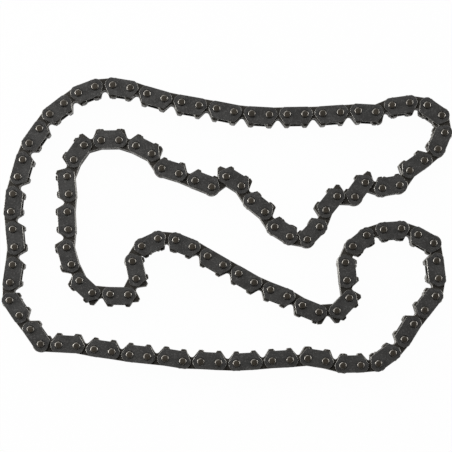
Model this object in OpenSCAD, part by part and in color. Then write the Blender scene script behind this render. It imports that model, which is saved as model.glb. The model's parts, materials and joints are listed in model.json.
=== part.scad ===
// Silent timing chain, of the kind also called an inverted tooth chain. It is one closed loop of
// plates on round pins. The loop lies loose on its side, so that every pin stands upright, and the
// plates' teeth point to the inside of the loop. Rows of two kinds take turns along it:
// a guide row has a guide plate at each face, pressed on two pins, and two link plates between them,
// and a link row has three link plates, which turn on the pins and fill the layers left between.

/* [Chain] */
// Pitch, the distance from one pin to the next
pitch = 6.35; // [6:0.05:8]
// Gap between the round ears of two neighbouring plates of one layer
ear_gap = 0.43; // [0.3:0.01:0.8]
// Side play between one plate and the next above it
side_play = 0.03; // [0.02:0.01:0.1]

/* [Plates] */
// Thickness of a link plate
link_t = 1.2; // [0.8:0.05:1.6]
// Thickness of a guide plate
guide_t = 1; // [0.7:0.05:1.4]
// Height of the straight back above the line through the pins
back_h = 2.64; // [2.3:0.02:2.8]
// Depth of the tooth tips below the line through the pins
tooth_d = 4.3; // [3.9:0.05:5]
// Lean of a tooth's outer flank
flank_a = 32; // [28:0.5:36]
// How far the outer flanks lie inside the ears' round ends
flank_relief = 0.21; // [0.1:0.01:0.4]
// Radius of the corners at a tooth's tip
tip_r = 0.3; // [0.15:0.05:0.4]

/* [Crotch] */
// Depth below the pins' line at which the crotch of a link plate ends
crotch_d = 1.57; // [1.4:0.01:1.9]
// Radius of the crotch's round end
crotch_r = 1; // [0.8:0.05:1.1]
// Lean of the crotch's walls
crotch_a = 36; // [33:0.5:38]
// Depth below the pins' line of a guide plate's shallow notch
notch_d = 3.48; // [3:0.02:3.7]

/* [Pins] */
// Diameter of the pins
pin_d = 2.8; // [2.4:0.05:3]
// Radial running clearance of a pin in a link plate
pin_play = 0.05; // [0.03:0.01:0.1]
// Radial gap drawn round a pin in the guide plates that it is pressed into
pin_seat = 0.01; // [0.01:0.005:0.03]
// How far a pin's riveted head stands out of the guide plate
head_h = 0.5; // [0.3:0.05:0.8]
// Diameter of the flat on a pin's head
head_flat_d = 1.6; // [1:0.05:2]

/* [Hidden] */
$fn = 48;
ear_r = (pitch - ear_gap) / 2;
flank_r = ear_r - flank_relief;
pin_r = pin_d / 2;
layers = 7;

// The lay of the chain: one list for each stretch of rows that stays rigid, with the direction in
// which each of its rows points, in degrees anticlockwise from +X, in order round the loop. The
// loop's last two rows, which have a stretch each, are worked out, so that the loop closes.
lay = [
    [25], [355, 338], [329, 330, 331, 330, 336, 339], [329, 338], [4], [46], [97, 95], [65], [39],
    [18, 4], [340, 331], [279, 276, 260], [232, 232, 238], [230, 216], [185, 181], [166, 171],
    [185, 183, 185, 183], [178, 177, 178], [171, 174, 174, 171, 172, 169], [177, 177], [125, 128, 124],
    [89, 82, 84], [96, 96], [84, 75, 74, 69], [55, 55], [38, 36, 21], [5, 351],
    [341, 344, 348, 350, 350, 349], [354, 357], [1, 1, 2, 4, 4, 357], [23, 8, 352], [325], [279], [247],
    [220, 215, 235], [190], [162], [234], [178], [231, 249], [226], [170], [148], [123, 141, 123],
    [148], [216], [159, 157, 163], [124], [153, 162], [181, 196], [235, 249], [275, 266, 273, 265],
    [286, 296], [317], [355, 359], [63]
];
// The stretch that stands still when the others move, counted from 0: the one halfway through the list
still = floor(len(lay) / 2) - 1;

// Every row's direction but the last two's, and the places of their pins from the first one
open_way = [for (stretch = lay) each stretch];
function step(i) = pitch * [cos(open_way[i]), sin(open_way[i])];
function walk(i) = i == 0 ? [0, 0] : walk(i - 1) + step(i - 1);
open_pin = [for (i = [0:len(open_way)]) walk(i)];
// The last pin is one pitch from the pin before it and one from the first, as the apex of a triangle
span = -open_pin[len(open_way)];
span_way = atan2(span.y, span.x);
apex_a = acos(norm(span) / 2 / pitch);
apex = open_pin[len(open_way)] + pitch * [cos(span_way + apex_a), sin(span_way + apex_a)];
way = concat(open_way, [span_way + apex_a, span_way - apex_a]);
loose_pin = concat(open_pin, [apex]);
// The loop's middle comes to the origin
function middle(values) = (min(values) + max(values)) / 2;
loop_mid = [middle([for (p = loose_pin) p.x]), middle([for (p = loose_pin) p.y])];
pin_at = [for (p = loose_pin) p - loop_mid];
// Number of rows in each stretch, and its first row
rows_in = concat([for (stretch = lay) len(stretch)], [1, 1]);
function first_row(s) = s == 0 ? 0 : first_row(s - 1) + rows_in[s - 1];

// Layers count from the lower face: guide rows fill the even ones and link rows the odd ones
function layer_t(k) = k == 0 || k == layers - 1 ? guide_t : link_t;
function layer_z(k) = k == 0 ? head_h : layer_z(k - 1) + layer_t(k - 1) + side_play;
pin_l = layer_z(layers - 1) + guide_t + head_h;

function name_of(s) = str("section_", s < 9 ? "0" : "", s + 1);
function node_of(s, kind) = str(name_of(s), s == still ? kind : "");
kinds = ["_guide_plates", "_link_plates", "_pins"];

// Points along a corner of radius tip_r about c, from the angle a to the angle b
function corner(c, a, b) = [for (t = [0:0.5:1]) c + tip_r * [cos(a + t * (b - a)), sin(a + t * (b - a))]];

// A plate's outline without its holes, from the pin at the origin to the pin at [pitch, 0], with the
// teeth below. The crotch's straight walls end at top_d below the line through the pins.
module outline(top_d) {
    tip_y = tip_r - tooth_d;
    outer_x = (tip_r - flank_r - sin(flank_a) * tip_y) / cos(flank_a);
    mouth = crotch_r / cos(crotch_a) + (tooth_d - crotch_d - crotch_r) * tan(crotch_a);
    inner_x = pitch / 2 - mouth - tip_r * (1 - sin(crotch_a)) / cos(crotch_a);
    side = concat(
        [[0, back_h], -flank_r * [cos(flank_a), sin(flank_a)]],
        corner([outer_x, tip_y], 180 + flank_a, 270),
        corner([inner_x, tip_y], 270, 360 - crotch_a),
        [[pitch / 2 - mouth + (tooth_d - top_d) * tan(crotch_a), -top_d]]
    );
    other_side = [for (i = [len(side) - 1:-1:0]) [pitch - side[i].x, side[i].y]];
    polygon(concat(side, other_side));
    intersection() {
        for (x = [0, pitch]) translate([x, 0]) circle(ear_r);
        translate([-ear_r, -ear_r]) square([pitch + 2 * ear_r, ear_r + back_h]);
    }
}

// A guide plate, with a shallow notch between its teeth and its holes tight round the pins
module guide_plate() {
    linear_extrude(guide_t) difference() {
        outline(notch_d);
        for (x = [0, pitch]) translate([x, 0]) circle(pin_r + pin_seat);
    }
}

// A link plate, with a deep crotch that ends in a round and holes that turn on the pins
module link_plate() {
    round_y = -crotch_d - crotch_r;
    linear_extrude(link_t) difference() {
        outline(-round_y - crotch_r * sin(crotch_a));
        translate([pitch / 2, round_y]) circle(crotch_r);
        for (x = [0, pitch]) translate([x, 0]) circle(pin_r + pin_play);
    }
}

// A pin, whose riveted heads are rounded at the rim up to a flat
module pin() {
    flat_r = head_flat_d / 2;
    round_r = pin_r - flat_r;
    rotate_extrude() {
        square([flat_r, pin_l]);
        translate([0, round_r]) square([pin_r, pin_l - 2 * round_r]);
        for (y = [round_r, pin_l - round_r])
            translate([flat_r, y]) circle(round_r);
    }
}

module at_row(i) {
    translate(concat(pin_at[i], 0)) rotate(way[i]) children();
}

// The rows of a stretch. The even rows of the loop are guide rows, and each holds its two pins.
function rows_of(s) = [for (i = [0:rows_in[s] - 1]) first_row(s) + i];
function guide_rows_of(s) = [for (i = rows_of(s)) if (i % 2 == 0) i];

module guide_plates(s) {
    color("dimgray")
        for (i = guide_rows_of(s), k = [0, layers - 1])
            at_row(i) translate([0, 0, layer_z(k)]) guide_plate();
}

module link_plates(s) {
    color("#4c4843")
        for (i = rows_of(s), k = [2 - i % 2:2:layers - 2])
            at_row(i) translate([0, 0, layer_z(k)]) link_plate();
}

module pins(s) {
    color("silver")
        for (i = guide_rows_of(s), x = [0, pitch])
            at_row(i) translate([x, 0]) pin();
}

for (s = [0:len(rows_in) - 1]) {
    guide_plates(s);
    link_plates(s);
    pins(s);
}
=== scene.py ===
# A silent timing chain, lying loose on its side on a white table.
# Lengths are metres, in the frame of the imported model: +Z points up along the pins.
import json
import math

import bpy
import numpy as np
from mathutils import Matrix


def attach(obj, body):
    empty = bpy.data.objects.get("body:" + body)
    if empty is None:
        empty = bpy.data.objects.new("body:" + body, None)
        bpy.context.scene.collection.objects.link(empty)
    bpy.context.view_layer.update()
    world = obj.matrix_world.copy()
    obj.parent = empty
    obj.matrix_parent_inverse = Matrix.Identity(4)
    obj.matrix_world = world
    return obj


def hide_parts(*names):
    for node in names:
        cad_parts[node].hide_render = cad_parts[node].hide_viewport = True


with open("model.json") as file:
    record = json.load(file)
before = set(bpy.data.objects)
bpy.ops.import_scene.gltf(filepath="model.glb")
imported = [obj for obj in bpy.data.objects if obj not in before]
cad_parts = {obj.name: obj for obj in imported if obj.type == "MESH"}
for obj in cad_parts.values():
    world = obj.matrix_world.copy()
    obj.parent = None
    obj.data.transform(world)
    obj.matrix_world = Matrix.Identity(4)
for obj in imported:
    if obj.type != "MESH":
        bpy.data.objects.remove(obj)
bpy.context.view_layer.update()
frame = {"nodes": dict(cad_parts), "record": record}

# Sizes of the chain's pieces, as the solids have them, apart from two finer readings of the
# photograph: the teeth's corners are sharper, and a guide plate is a little smaller and has no
# teeth of its own
MM = 0.001
PITCH = 6.35 * MM
EAR_RADIUS = 2.96 * MM
BACK_HEIGHT = 2.64 * MM
TOOTH_DEPTH = 4.3 * MM
FLANK_LEAN = math.radians(32)
FLANK_RADIUS = 2.75 * MM
TIP_RADIUS = 0.18 * MM
CROTCH_DEPTH = 1.57 * MM
CROTCH_RADIUS = 1.0 * MM
CROTCH_LEAN = math.radians(36)
GUIDE_DEPTH = 3.55 * MM
GUIDE_EAR_RADIUS = 2.85 * MM
GUIDE_FLANK_RADIUS = 2.65 * MM
GUIDE_CORNER_RADIUS = 0.3 * MM
GUIDE_THICK = 1.0 * MM
LINK_THICK = 1.2 * MM
SIDE_PLAY = 0.03 * MM
LAYERS = 7
PIN_RADIUS = 1.4 * MM
GUIDE_BORE_RADIUS = 1.41 * MM
LINK_BORE_RADIUS = 1.45 * MM
HEAD_HEIGHT = 0.5 * MM
HEAD_FLAT_RADIUS = 0.8 * MM

# How finely the surfaces are cut, and the least bend that shows as a sharp edge
EAR_STEPS = 6
CORNER_STEPS = 3
CROTCH_STEPS = 5
BORE_STEPS = 24
PIN_STEPS = 32
RIM_STEPS = 5
SHARP_BEND = math.radians(32)

# Width of the plates' broken edges
GUIDE_EDGE = 0.11 * MM
LINK_EDGE = 0.12 * MM

# Vertices of the solids count as level with a height when they are nearer to it than this
LEVEL_GAP = 0.01 * MM

# The values of their noise at which the steel's cloudy patches and pale specks set in and are
# full, what a cloud adds to the roughness, and how deep the surface's pits are at full relief
CLOUD_RANGE = (0.38, 0.62)
SPECK_RANGE = (0.52, 0.72)
CLOUD_ROUGHNESS = 0.12
PIT_DEPTH = 0.03 * MM

# The table's reach to each side of the middle, its tone where lamps light it, and the share of
# the chain's shadow that shows on it
TABLE_REACH = 6.0
TABLE_TONE = 0.8
SHADOW_SHARE = 0.02

# The strength of the studio's walls, and what is added to it towards the sides, the back and
# the ceiling
ROOM_STRENGTH = 0.07
ROOM_SIDES = 0.2
ROOM_BACK = 0.05
ROOM_CEILING = 0.05

# The photograph's camera looks nearly straight down: its place, its turn in degrees, and the
# focal length and the sensor's width in millimetres
CAMERA_PLACE = (-0.0116, -0.05097, 0.78995)
CAMERA_TURN = (3.699, -0.799, -0.012)
CAMERA_LENS = 175.25
CAMERA_SENSOR = 36

# The lamps: two low soft boxes at the chain's ends and a key light from behind, to the left.
# Each has its place, its width and height, and its power in watts.
SOFT_BOXES = {
    "left_soft_box": ((-0.48, 0.03, 0.09), (0.36, 0.15), 2.6),
    "right_soft_box": ((0.82, 0.17, 0.13), (0.7, 0.22), 5.2),
    "key_soft_box": ((-0.24, 0.4, 0.44), (0.75, 0.75), 3.6),
}


def layer_bottoms():
    """Height of each layer's lower face, with the plates stacked on the pins' lower heads."""
    thick = np.full(LAYERS, LINK_THICK)
    thick[[0, -1]] = GUIDE_THICK
    return HEAD_HEIGHT + np.concatenate([[0], np.cumsum(thick[:-1] + SIDE_PLAY)])


BOTTOMS = layer_bottoms()
PIN_LENGTH = BOTTOMS[-1] + GUIDE_THICK + HEAD_HEIGHT
BODIES = frame["record"]["behaviour"]["bodies"]


def points_of(body):
    """All vertices of the solids of a body, as one array."""
    parts = []
    for node in BODIES[body]:
        mesh = frame["nodes"][node].data
        co = np.empty(len(mesh.vertices) * 3, np.float32)
        mesh.vertices.foreach_get("co", co)
        parts.append(co.reshape(-1, 3).astype(float))
    return np.concatenate(parts)


def pins_of(points):
    """Centres of the flats at the pins' tops, each the middle of a cluster of highest vertices."""
    rest = points[points[:, 2] > PIN_LENGTH - LEVEL_GAP, :2]
    centres = []
    while len(rest):
        near = np.hypot(*(rest - rest[0]).T) < PITCH / 2
        centres.append((rest[near].min(0) + rest[near].max(0)) / 2)
        rest = rest[~near]
    return centres


def read_rows():
    """The chain's rows in order round the loop.

    Each row is its first pin's place, its direction, its body, and whether it is a guide row. The
    pins are strung together by their distance of one pitch, clockwise seen from above. A body's
    first pin always starts a guide row. A link row belongs to the body with a plate at its middle.
    """
    points = {body: points_of(body) for body in BODIES}
    pins = [(centre, body) for body in BODIES for centre in pins_of(points[body])]
    places = np.array([centre for centre, _ in pins])
    order = [0]
    left = set(range(1, len(pins)))
    while left:
        near = min(left, key=lambda i: np.hypot(*(places[i] - places[order[-1]])))
        order.append(near)
        left.remove(near)
    x, y = places[order].T
    if np.sum(x * np.roll(y, -1) - y * np.roll(x, -1)) > 0:
        order.reverse()
    starts = [i for i, k in enumerate(order) if pins[k][1] != pins[order[i - 1]][1]]
    order = order[starts[0]:] + order[:starts[0]]
    places = places[order]
    owners = [pins[k][1] for k in order]
    link_level = {
        body: co[np.abs(co[:, 2] - BOTTOMS[1]) < LEVEL_GAP, :2] for body, co in points.items()
    }
    rows = []
    for i, place in enumerate(places):
        way = places[(i + 1) % len(places)] - place
        guide = i % 2 == 0
        owner = owners[i]
        if not guide:
            middle = place + way / 2
            distance = {
                body: np.hypot(*(co - middle).T).min() for body, co in link_level.items() if len(co)
            }
            owner = min(distance, key=distance.get)
        rows.append((place, way / np.hypot(*way), owner, guide))
    return rows


def arc(centre, radius, start, end, steps):
    """An arc: centre plus radius times (cos t, sin t), for t in even steps from start to end."""
    t = np.linspace(start, end, steps + 1)
    return np.column_stack([centre[0] + radius * np.cos(t), centre[1] + radius * np.sin(t)])


def circle(steps, start, end):
    """The points (cos t, sin t), for t in even steps from start up to end, which is left out."""
    turn = np.linspace(start, end, steps, endpoint=False)
    return np.column_stack([np.cos(turn), np.sin(turn)])


def mirrored(half):
    """The other half of a plate's outline, in reverse order."""
    return half[::-1] * [-1, 1] + [PITCH, 0]


def corner(depth, flank_radius, radius):
    """The arc from a plate's outer flank round to its deepest line.

    Its centre is radius above the deepest line and radius inside the flank, which leans by
    FLANK_LEAN and passes the pin's centre at flank_radius.
    """
    y = radius - depth
    x = (radius - flank_radius - math.sin(FLANK_LEAN) * y) / math.cos(FLANK_LEAN)
    return arc((x, y), radius, math.pi + FLANK_LEAN, 1.5 * math.pi, CORNER_STEPS)


def ear(radius, end):
    """The arc of a plate's ear about its pin.

    It starts where the circle meets the back, passes the line through the pins, and ends at an
    angle.
    """
    start = math.pi - math.asin(BACK_HEIGHT / radius)
    upper = arc((0, 0), radius, start, math.pi, EAR_STEPS)
    lower = arc((0, 0), radius, math.pi, end, EAR_STEPS)
    return np.concatenate([upper, lower[1:]])


def link_outline():
    """A link plate's outline, anticlockwise: pins at (0, 0) and (PITCH, 0), teeth below.

    From the back: the ear's arc, the flank, the tooth's two corners and the crotch's arc. The
    other half is the same, mirrored. mouth is half the crotch's width at the depth of the teeth's
    tips. The crotch's walls lean by CROTCH_LEAN and touch its round end, and the tooth's inner
    corner touches the wall and the deepest line.
    """
    mouth = CROTCH_RADIUS / math.cos(CROTCH_LEAN)
    mouth += (TOOTH_DEPTH - CROTCH_DEPTH - CROTCH_RADIUS) * math.tan(CROTCH_LEAN)
    inner_x = PITCH / 2 - mouth - TIP_RADIUS * (1 - math.sin(CROTCH_LEAN)) / math.cos(CROTCH_LEAN)
    inner = (inner_x, TIP_RADIUS - TOOTH_DEPTH)
    round_end = (PITCH / 2, -CROTCH_DEPTH - CROTCH_RADIUS)
    top = arc(round_end, CROTCH_RADIUS, math.pi - CROTCH_LEAN, math.pi / 2, CROTCH_STEPS)
    ear_end = math.pi + FLANK_LEAN + math.acos(FLANK_RADIUS / EAR_RADIUS)
    half = np.concatenate([
        ear(EAR_RADIUS, ear_end),
        corner(TOOTH_DEPTH, FLANK_RADIUS, TIP_RADIUS),
        arc(inner, TIP_RADIUS, 1.5 * math.pi, 2 * math.pi - CROTCH_LEAN, CORNER_STEPS),
        top[:-1],
    ])
    return np.concatenate([half, top[-1:], mirrored(half)])


def guide_outline():
    """A guide plate's outline, laid like a link plate's.

    Its ears are cut straight by its flanks, and its inner edge is straight.
    """
    ear_end = math.pi + FLANK_LEAN - math.acos(GUIDE_FLANK_RADIUS / GUIDE_EAR_RADIUS)
    half = np.concatenate([
        ear(GUIDE_EAR_RADIUS, ear_end),
        corner(GUIDE_DEPTH, GUIDE_FLANK_RADIUS, GUIDE_CORNER_RADIUS),
    ])
    return np.concatenate([half, mirrored(half)])


def inset(outline, width):
    """The outline with every edge moved inwards by width.

    Each point moves by width times the sum of its two edges' normals, divided by that sum's reach
    along either normal.
    """
    edge = np.roll(outline, -1, 0) - outline
    normal = np.column_stack([-edge[:, 1], edge[:, 0]]) / np.hypot(*edge.T)[:, None]
    mean = normal + np.roll(normal, 1, 0)
    mean /= np.sum(mean * normal, 1)[:, None]
    return outline + width * mean


def ring(flat, height):
    """A flat outline lifted to a height."""
    return np.column_stack([flat, np.full(len(flat), height)])


def walls(rings):
    """The vertices of a stack of rings of equal length, and row by row the faces between them.

    A face runs from a ring's point to the next point of that ring, and back along the ring above.
    The faces look outwards where the rings run anticlockwise, and inwards where they run clockwise.
    """
    count = len(rings[0])
    i = np.arange(count)
    j = (i + 1) % count
    row = np.column_stack([i, j, j + count, i + count])
    return np.concatenate(rings), [row + count * level for level in range(len(rings) - 1)]


def open_face(rim, left, right):
    """A plate's flat face as two polygons, which leave the bores open.

    The polygons meet on the line through the pins. rim, left and right are the vertices' numbers
    along the outline and along the two bores.
    """
    half = len(left) // 2
    back = [*rim[-1 - EAR_STEPS:], *rim[:EAR_STEPS + 1], *left[:half + 1], *right[:half + 1]]
    teeth = [*rim[EAR_STEPS:-EAR_STEPS], *right[half:], right[0], *left[half:], left[0]]
    return [back, teeth]


# The materials of a piece, in order. Link plates and pins have the first two only.
FACE, WALL, EDGE = 0, 1, 2


def plate_template(outline, thick, bore, width, edge):
    """A plate with two bores, from its lower face at z 0, with all its edges broken by width.

    The outline and the bores are rings at four heights. At both faces they are drawn back by
    width, and from width above the lower face to width below the upper one they are full. edge is
    the material of the outline's broken edges. Returns the vertices, the side faces row by row
    with the material of each row, and the flat faces.
    """
    drawn_back = (width, 0, 0, width)
    heights = (0, width, thick - width, thick)
    hole = circle(BORE_STEPS, math.pi, -math.pi)
    loops = [[ring(inset(outline, back), z) for back, z in zip(drawn_back, heights)]]
    for x in (0, PITCH):
        loops.append([
            ring((bore + back) * hole + [x, 0], z) for back, z in zip(drawn_back, heights)
        ])
    vertices, sides, low, high = [], [], [], []
    first = 0
    for rings, broken in zip(loops, (edge, FACE, FACE)):
        points, rows = walls(rings)
        vertices.append(points)
        sides += [(row + first, mark) for row, mark in zip(rows, (broken, WALL, broken))]
        numbers = np.arange(first, first + len(points)).tolist()
        low.append(numbers[:len(rings[0])])
        high.append(numbers[-len(rings[0]):])
        first += len(points)
    faces = open_face(*high) + [face[::-1] for face in open_face(*low)]
    return np.concatenate(vertices), sides, faces


def pin_template():
    """A pin on the Z axis: quarter-round rims and a straight shank, turned about the axis.

    Along a rim, for t from 0 to a quarter turn, the radius is HEAD_FLAT_RADIUS plus the rim's own
    times sin t, and the height is the rim's radius times (1 - cos t). Returns the same as
    plate_template. The rims and the shank are of the wall's material, but for the innermost ring
    of each rim, which is as dull as the flat that it runs into.
    """
    t = np.linspace(0, math.pi / 2, RIM_STEPS + 1)
    rim = PIN_RADIUS - HEAD_FLAT_RADIUS
    radius = HEAD_FLAT_RADIUS + rim * np.sin(t)
    height = rim * (1 - np.cos(t))
    profile = list(zip(radius, height)) + list(zip(radius[::-1], PIN_LENGTH - height[::-1]))
    turn = circle(PIN_STEPS, 0, 2 * math.pi)
    vertices, sides = walls([ring(r * turn, z) for r, z in profile])
    marks = [FACE] + [WALL] * (len(sides) - 2) + [FACE]
    numbers = np.arange(len(vertices)).tolist()
    ends = [numbers[:PIN_STEPS][::-1], numbers[-PIN_STEPS:]]
    return vertices, list(zip(sides, marks)), ends


def placed(vertices, place, way, height):
    """A template's vertices moved to a row: x runs along its way, y to its left, z from height."""
    x, y, z = vertices.T
    return np.column_stack([
        place[0] + x * way[0] - y * way[1],
        place[1] + x * way[1] + y * way[0],
        z + height,
    ])


def new_object(name, data):
    """An object, put into the scene."""
    thing = bpy.data.objects.new(name, data)
    bpy.context.scene.collection.objects.link(thing)
    return thing


def dress_stretch(body, kind, template, poses, materials):
    """One piece: all plates or pins of a kind that ride on a body, as copies of a template.

    poses holds the place, the direction and the height of each copy.
    """
    vertices, sides, ends = template
    count = len(vertices)
    points = np.concatenate([placed(vertices, *pose) for pose in poses])
    faces, marks = [], []
    for k in range(len(poses)):
        for quads, mark in sides:
            faces += (quads + k * count).tolist()
            marks += [mark] * len(quads)
        faces += [[v + k * count for v in end] for end in ends]
        marks += [FACE] * len(ends)
    name = f"{body}-{kind}"
    mesh = bpy.data.meshes.new(name)
    mesh.from_pydata(points.tolist(), [], faces)
    for material in materials:
        mesh.materials.append(material)
    mesh.polygons.foreach_set("material_index", np.array(marks, np.int32))
    mesh.polygons.foreach_set("use_smooth", np.ones(len(faces), bool))
    mesh.set_sharp_from_angle(angle=SHARP_BEND)
    mesh.update()
    piece = new_object(name, mesh)
    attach(piece, body)
    nodes = [n for n in BODIES[body] if n == body or n.endswith(kind)]
    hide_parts(*nodes)


def feed(tree, given, socket):
    """Gives a socket a number, or another node's output."""
    if isinstance(given, float):
        socket.default_value = given
    else:
        tree.links.new(given, socket)


def times_plus(tree, value, factor, rest):
    """value times factor plus rest, each of them a number or another node's output."""
    node = tree.nodes.new("ShaderNodeMath")
    node.operation = "MULTIPLY_ADD"
    for given, socket in zip((value, factor, rest), node.inputs):
        feed(tree, given, socket)
    return node.outputs["Value"]


def noise(tree, scale, detail, roughness):
    """Noise from 0 to 1 that stays with the piece."""
    place = tree.nodes.new("ShaderNodeTexCoord")
    node = tree.nodes.new("ShaderNodeTexNoise")
    node.inputs["Detail"].default_value = detail
    node.inputs["Roughness"].default_value = roughness
    tree.links.new(place.outputs["Object"], node.inputs["Vector"])
    tree.links.new(scale, node.inputs["Scale"])
    return node.outputs["Fac"]


def mask(tree, value, span):
    """0 where the value is below the span, 1 where it is above, and rising evenly in between."""
    node = tree.nodes.new("ShaderNodeMapRange")
    node.inputs["From Min"].default_value, node.inputs["From Max"].default_value = span
    tree.links.new(value, node.inputs["Value"])
    return node.outputs["Result"]


def mix_colours(tree, share, first, second):
    """The first colour, with a share of the second in it."""
    node = tree.nodes.new("ShaderNodeMix")
    node.data_type = "RGBA"
    tree.links.new(share, node.inputs["Factor"])
    tree.links.new(first, node.inputs["A"])
    tree.links.new(second, node.inputs["B"])
    return node.outputs["Result"]


def mix_shaders(tree, share, first, second):
    """The first shader, with a share of the second in it. The share is a number or an output."""
    node = tree.nodes.new("ShaderNodeMixShader")
    feed(tree, share, node.inputs["Fac"])
    tree.links.new(first, node.inputs[1])
    tree.links.new(second, node.inputs[2])
    return node.outputs["Shader"]


def steel_group():
    """Satin steel: cloudy patches of two tones, fine pale specks, and a finely pitted surface."""
    group = bpy.data.node_groups.new("satin_steel", "ShaderNodeTree")
    sockets = {
        "INPUT": {
            "Color": ("Colour", "Cloud Colour", "Speck Colour"),
            "Float": ("Speck Share", "Cloud Scale", "Grain Scale", "Roughness", "Relief"),
        },
        "OUTPUT": {"Color": ("Colour",), "Float": ("Roughness",), "Vector": ("Normal",)},
    }
    for way, kinds in sockets.items():
        for kind, names in kinds.items():
            for name in names:
                group.interface.new_socket(name, in_out=way, socket_type=f"NodeSocket{kind}")
    given = group.nodes.new("NodeGroupInput").outputs
    made = group.nodes.new("NodeGroupOutput").inputs

    cloud = noise(group, given["Cloud Scale"], detail=3, roughness=0.5)
    cloud = mask(group, cloud, CLOUD_RANGE)
    tone = mix_colours(group, cloud, given["Colour"], given["Cloud Colour"])
    grain = noise(group, given["Grain Scale"], detail=4, roughness=0.6)
    speck = times_plus(group, mask(group, grain, SPECK_RANGE), given["Speck Share"], 0.0)
    colour = mix_colours(group, speck, tone, given["Speck Colour"])
    group.links.new(colour, made["Colour"])
    rough = times_plus(group, cloud, CLOUD_ROUGHNESS, given["Roughness"])
    group.links.new(rough, made["Roughness"])

    bump = group.nodes.new("ShaderNodeBump")
    bump.inputs["Distance"].default_value = PIT_DEPTH
    group.links.new(given["Relief"], bump.inputs["Strength"])
    group.links.new(grain, bump.inputs["Height"])
    group.links.new(bump.outputs["Normal"], made["Normal"])
    return group


STEEL = steel_group()


def steel(name, colour, cloud, speck, speck_share=0.3, cloud_scale=220.0, grain_scale=4000.0,
          roughness=0.45, relief=0.3, metallic=1.0, gloss=0.5):
    """A material made from the satin steel group with its own values."""
    material = bpy.data.materials.new(name)
    material.use_nodes = True
    tree = material.node_tree
    shader = tree.nodes["Principled BSDF"].inputs
    shader["Metallic"].default_value = metallic
    shader["Specular IOR Level"].default_value = gloss
    finish = tree.nodes.new("ShaderNodeGroup")
    finish.node_tree = STEEL
    values = {
        "Colour": (*colour, 1),
        "Cloud Colour": (*cloud, 1),
        "Speck Colour": (*speck, 1),
        "Speck Share": speck_share,
        "Cloud Scale": cloud_scale,
        "Grain Scale": grain_scale,
        "Roughness": roughness,
        "Relief": relief,
    }
    for socket, value in values.items():
        finish.inputs[socket].default_value = value
    sources = {"Base Color": "Colour", "Roughness": "Roughness", "Normal": "Normal"}
    for socket, output in sources.items():
        tree.links.new(finish.outputs[output], shader[socket])
    return material


# The chain's steels, each with its own colour, its clouds' and its specks'. Faces are dark with
# oxide;
# the link plates' faces, which lie under the guide plates, are darker and browner still, which is
# painted shade. The blanked walls and the rivets' rims are brighter. The guide plates' broken edges
# are metal that reflects the lamps, and their colour, lighter than the faces', is in part a painted
# highlight.
guide_face = steel(
    "guide_face", (0.054, 0.053, 0.051), (0.038, 0.037, 0.0355), (0.2, 0.195, 0.19),
    speck_share=0.38, cloud_scale=260.0, grain_scale=1900.0, roughness=0.5, metallic=0.0, gloss=0.2,
)
guide_wall = steel(
    "guide_wall", (0.24, 0.23, 0.215), (0.12, 0.115, 0.1), (0.6, 0.58, 0.55),
    speck_share=0.4, metallic=0.2,
)
# The guide plates' broken edges: metal that reflects the lamps, in a colour lighter than the faces'
# that paints in part of their highlight lines
painted_highlight_edge = steel(
    "painted_highlight_edge", (0.2, 0.195, 0.18), (0.14, 0.137, 0.127), (0.26, 0.25, 0.235),
    speck_share=0.1, cloud_scale=150.0, roughness=0.4, relief=0.0,
)
# The link plates' faces: a darker, browner copy of the guide plates' faces, painted shade of the
# plates that lie over them
link_face_with_painted_shade = steel(
    "link_face_with_painted_shade", (0.045, 0.041, 0.035), (0.03, 0.027, 0.022), (0.09, 0.08, 0.07),
    metallic=0.0, gloss=0.2,
)
link_wall = steel(
    "link_wall", (0.27, 0.26, 0.24), (0.12, 0.115, 0.1), (0.6, 0.58, 0.55),
    speck_share=0.4, metallic=0.2,
)
pin_rim = steel(
    "pin_rim", (0.21, 0.2, 0.182), (0.145, 0.135, 0.12), (0.37, 0.36, 0.335),
    cloud_scale=500.0, roughness=0.3, relief=0.15,
)
pin_flat = steel(
    "pin_flat", (0.045, 0.037, 0.027), (0.03, 0.025, 0.018), (0.12, 0.1, 0.08),
    cloud_scale=350.0, roughness=0.5, metallic=0.0, gloss=0.2,
)


def dress_chain():
    """Three pieces for each body: its guide plates, its link plates and its pins."""
    kinds = {"guide_plates": {}, "link_plates": {}, "pins": {}}
    for place, way, body, guide in read_rows():
        levels = range(0, LAYERS, 2) if guide else range(1, LAYERS, 2)
        for k in levels:
            kind = "guide_plates" if k in (0, LAYERS - 1) else "link_plates"
            kinds[kind].setdefault(body, []).append((place, way, BOTTOMS[k]))
        if guide:
            for end in (place, place + PITCH * way):
                kinds["pins"].setdefault(body, []).append((end, way, 0.0))
    guide_plate = plate_template(guide_outline(), GUIDE_THICK, GUIDE_BORE_RADIUS, GUIDE_EDGE, EDGE)
    link_plate = plate_template(link_outline(), LINK_THICK, LINK_BORE_RADIUS, LINK_EDGE, WALL)
    finish = {
        "guide_plates": (guide_plate, [guide_face, guide_wall, painted_highlight_edge]),
        "link_plates": (link_plate, [link_face_with_painted_shade, link_wall]),
        "pins": (pin_template(), [pin_flat, pin_rim]),
    }
    for kind, bodies in kinds.items():
        template, materials = finish[kind]
        for body, poses in bodies.items():
            dress_stretch(body, kind, template, poses, materials)


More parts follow.
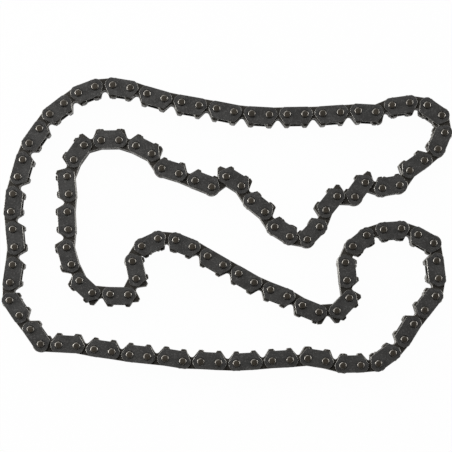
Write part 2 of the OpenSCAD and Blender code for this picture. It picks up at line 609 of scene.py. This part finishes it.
def make_table():
    """A wide white table under the chain.

    The camera, reflections and glass see it as plain white with a trace of the chain's shadow.
    Matt surfaces see it as a white board that the lamps light.
    """
    mesh = bpy.data.meshes.new("table")
    sides = ((-1, -1), (1, -1), (1, 1), (-1, 1))
    corners = [(TABLE_REACH * x, TABLE_REACH * y, 0) for x, y in sides]
    mesh.from_pydata(corners, [], [(0, 1, 2, 3)])
    table = new_object("table", mesh)
    material = bpy.data.materials.new("white_table")
    material.use_nodes = True
    tree = material.node_tree
    nodes = tree.nodes
    nodes.remove(nodes["Principled BSDF"])
    matt = nodes.new("ShaderNodeBsdfDiffuse")
    matt.inputs["Color"].default_value = (TABLE_TONE, TABLE_TONE, TABLE_TONE, 1)
    board = matt.outputs["BSDF"]
    glow = nodes.new("ShaderNodeEmission").outputs["Emission"]
    white = mix_shaders(tree, SHADOW_SHARE, glow, board)
    rays = nodes.new("ShaderNodeLightPath").outputs
    seen = rays["Is Camera Ray"]
    for kind in ("Is Glossy Ray", "Is Transmission Ray"):
        seen = times_plus(tree, seen, 1.0, rays[kind])
    mix = mix_shaders(tree, seen, board, white)
    tree.links.new(mix, nodes["Material Output"].inputs["Surface"])
    mesh.materials.append(material)


def make_world():
    """A dim studio around the chain, brighter at its sides and its ceiling, which the steel sees.

    The rivets' rims are dark towards the front, so the steel doesn't mirror a white room. The
    camera sees plain white. In a direction (x, y, z) the strength is ROOM_STRENGTH, plus x squared
    times ROOM_SIDES, y times ROOM_BACK and z times ROOM_CEILING.
    """
    world = bpy.data.worlds.new("studio")
    world.use_nodes = True
    bpy.context.scene.world = world
    tree = world.node_tree
    nodes = tree.nodes
    way = nodes.new("ShaderNodeTexCoord")
    parts = nodes.new("ShaderNodeSeparateXYZ")
    tree.links.new(way.outputs["Generated"], parts.inputs["Vector"])
    x, y, z = (parts.outputs[axis] for axis in "XYZ")
    strength = times_plus(tree, z, ROOM_CEILING, ROOM_STRENGTH)
    strength = times_plus(tree, y, ROOM_BACK, strength)
    strength = times_plus(tree, x, times_plus(tree, x, ROOM_SIDES, 0.0), strength)
    room = nodes["Background"]
    tree.links.new(strength, room.inputs["Strength"])
    white = nodes.new("ShaderNodeBackground")
    for colour in (room.inputs["Color"], white.inputs["Color"]):
        colour.default_value = (1, 1, 1, 1)
    rays = nodes.new("ShaderNodeLightPath").outputs
    mix = mix_shaders(
        tree, rays["Is Camera Ray"], room.outputs["Background"], white.outputs["Background"]
    )
    tree.links.new(mix, nodes["World Output"].inputs["Surface"])


def soft_light(name, place, size, power):
    """A soft box aimed at the chain's middle."""
    lamp = bpy.data.lights.new(name, "AREA")
    lamp.shape = "RECTANGLE"
    lamp.size, lamp.size_y = size
    lamp.energy = power
    light = new_object(name, lamp)
    x, y, z = place
    light.location = place
    light.rotation_euler = (math.atan2(math.hypot(x, y), z), 0, math.atan2(x, -y))


def make_camera():
    """The photograph's camera."""
    lens = bpy.data.cameras.new("camera")
    lens.sensor_width = CAMERA_SENSOR
    lens.lens = CAMERA_LENS
    camera = new_object("camera", lens)
    camera.location = CAMERA_PLACE
    camera.rotation_euler = [math.radians(a) for a in CAMERA_TURN]
    bpy.context.scene.camera = camera


dress_chain()
make_table()
make_world()
for name, (place, size, power) in SOFT_BOXES.items():
    soft_light(name, place, size, power)
make_camera()
bpy.context.scene.view_settings.view_transform = "Standard"
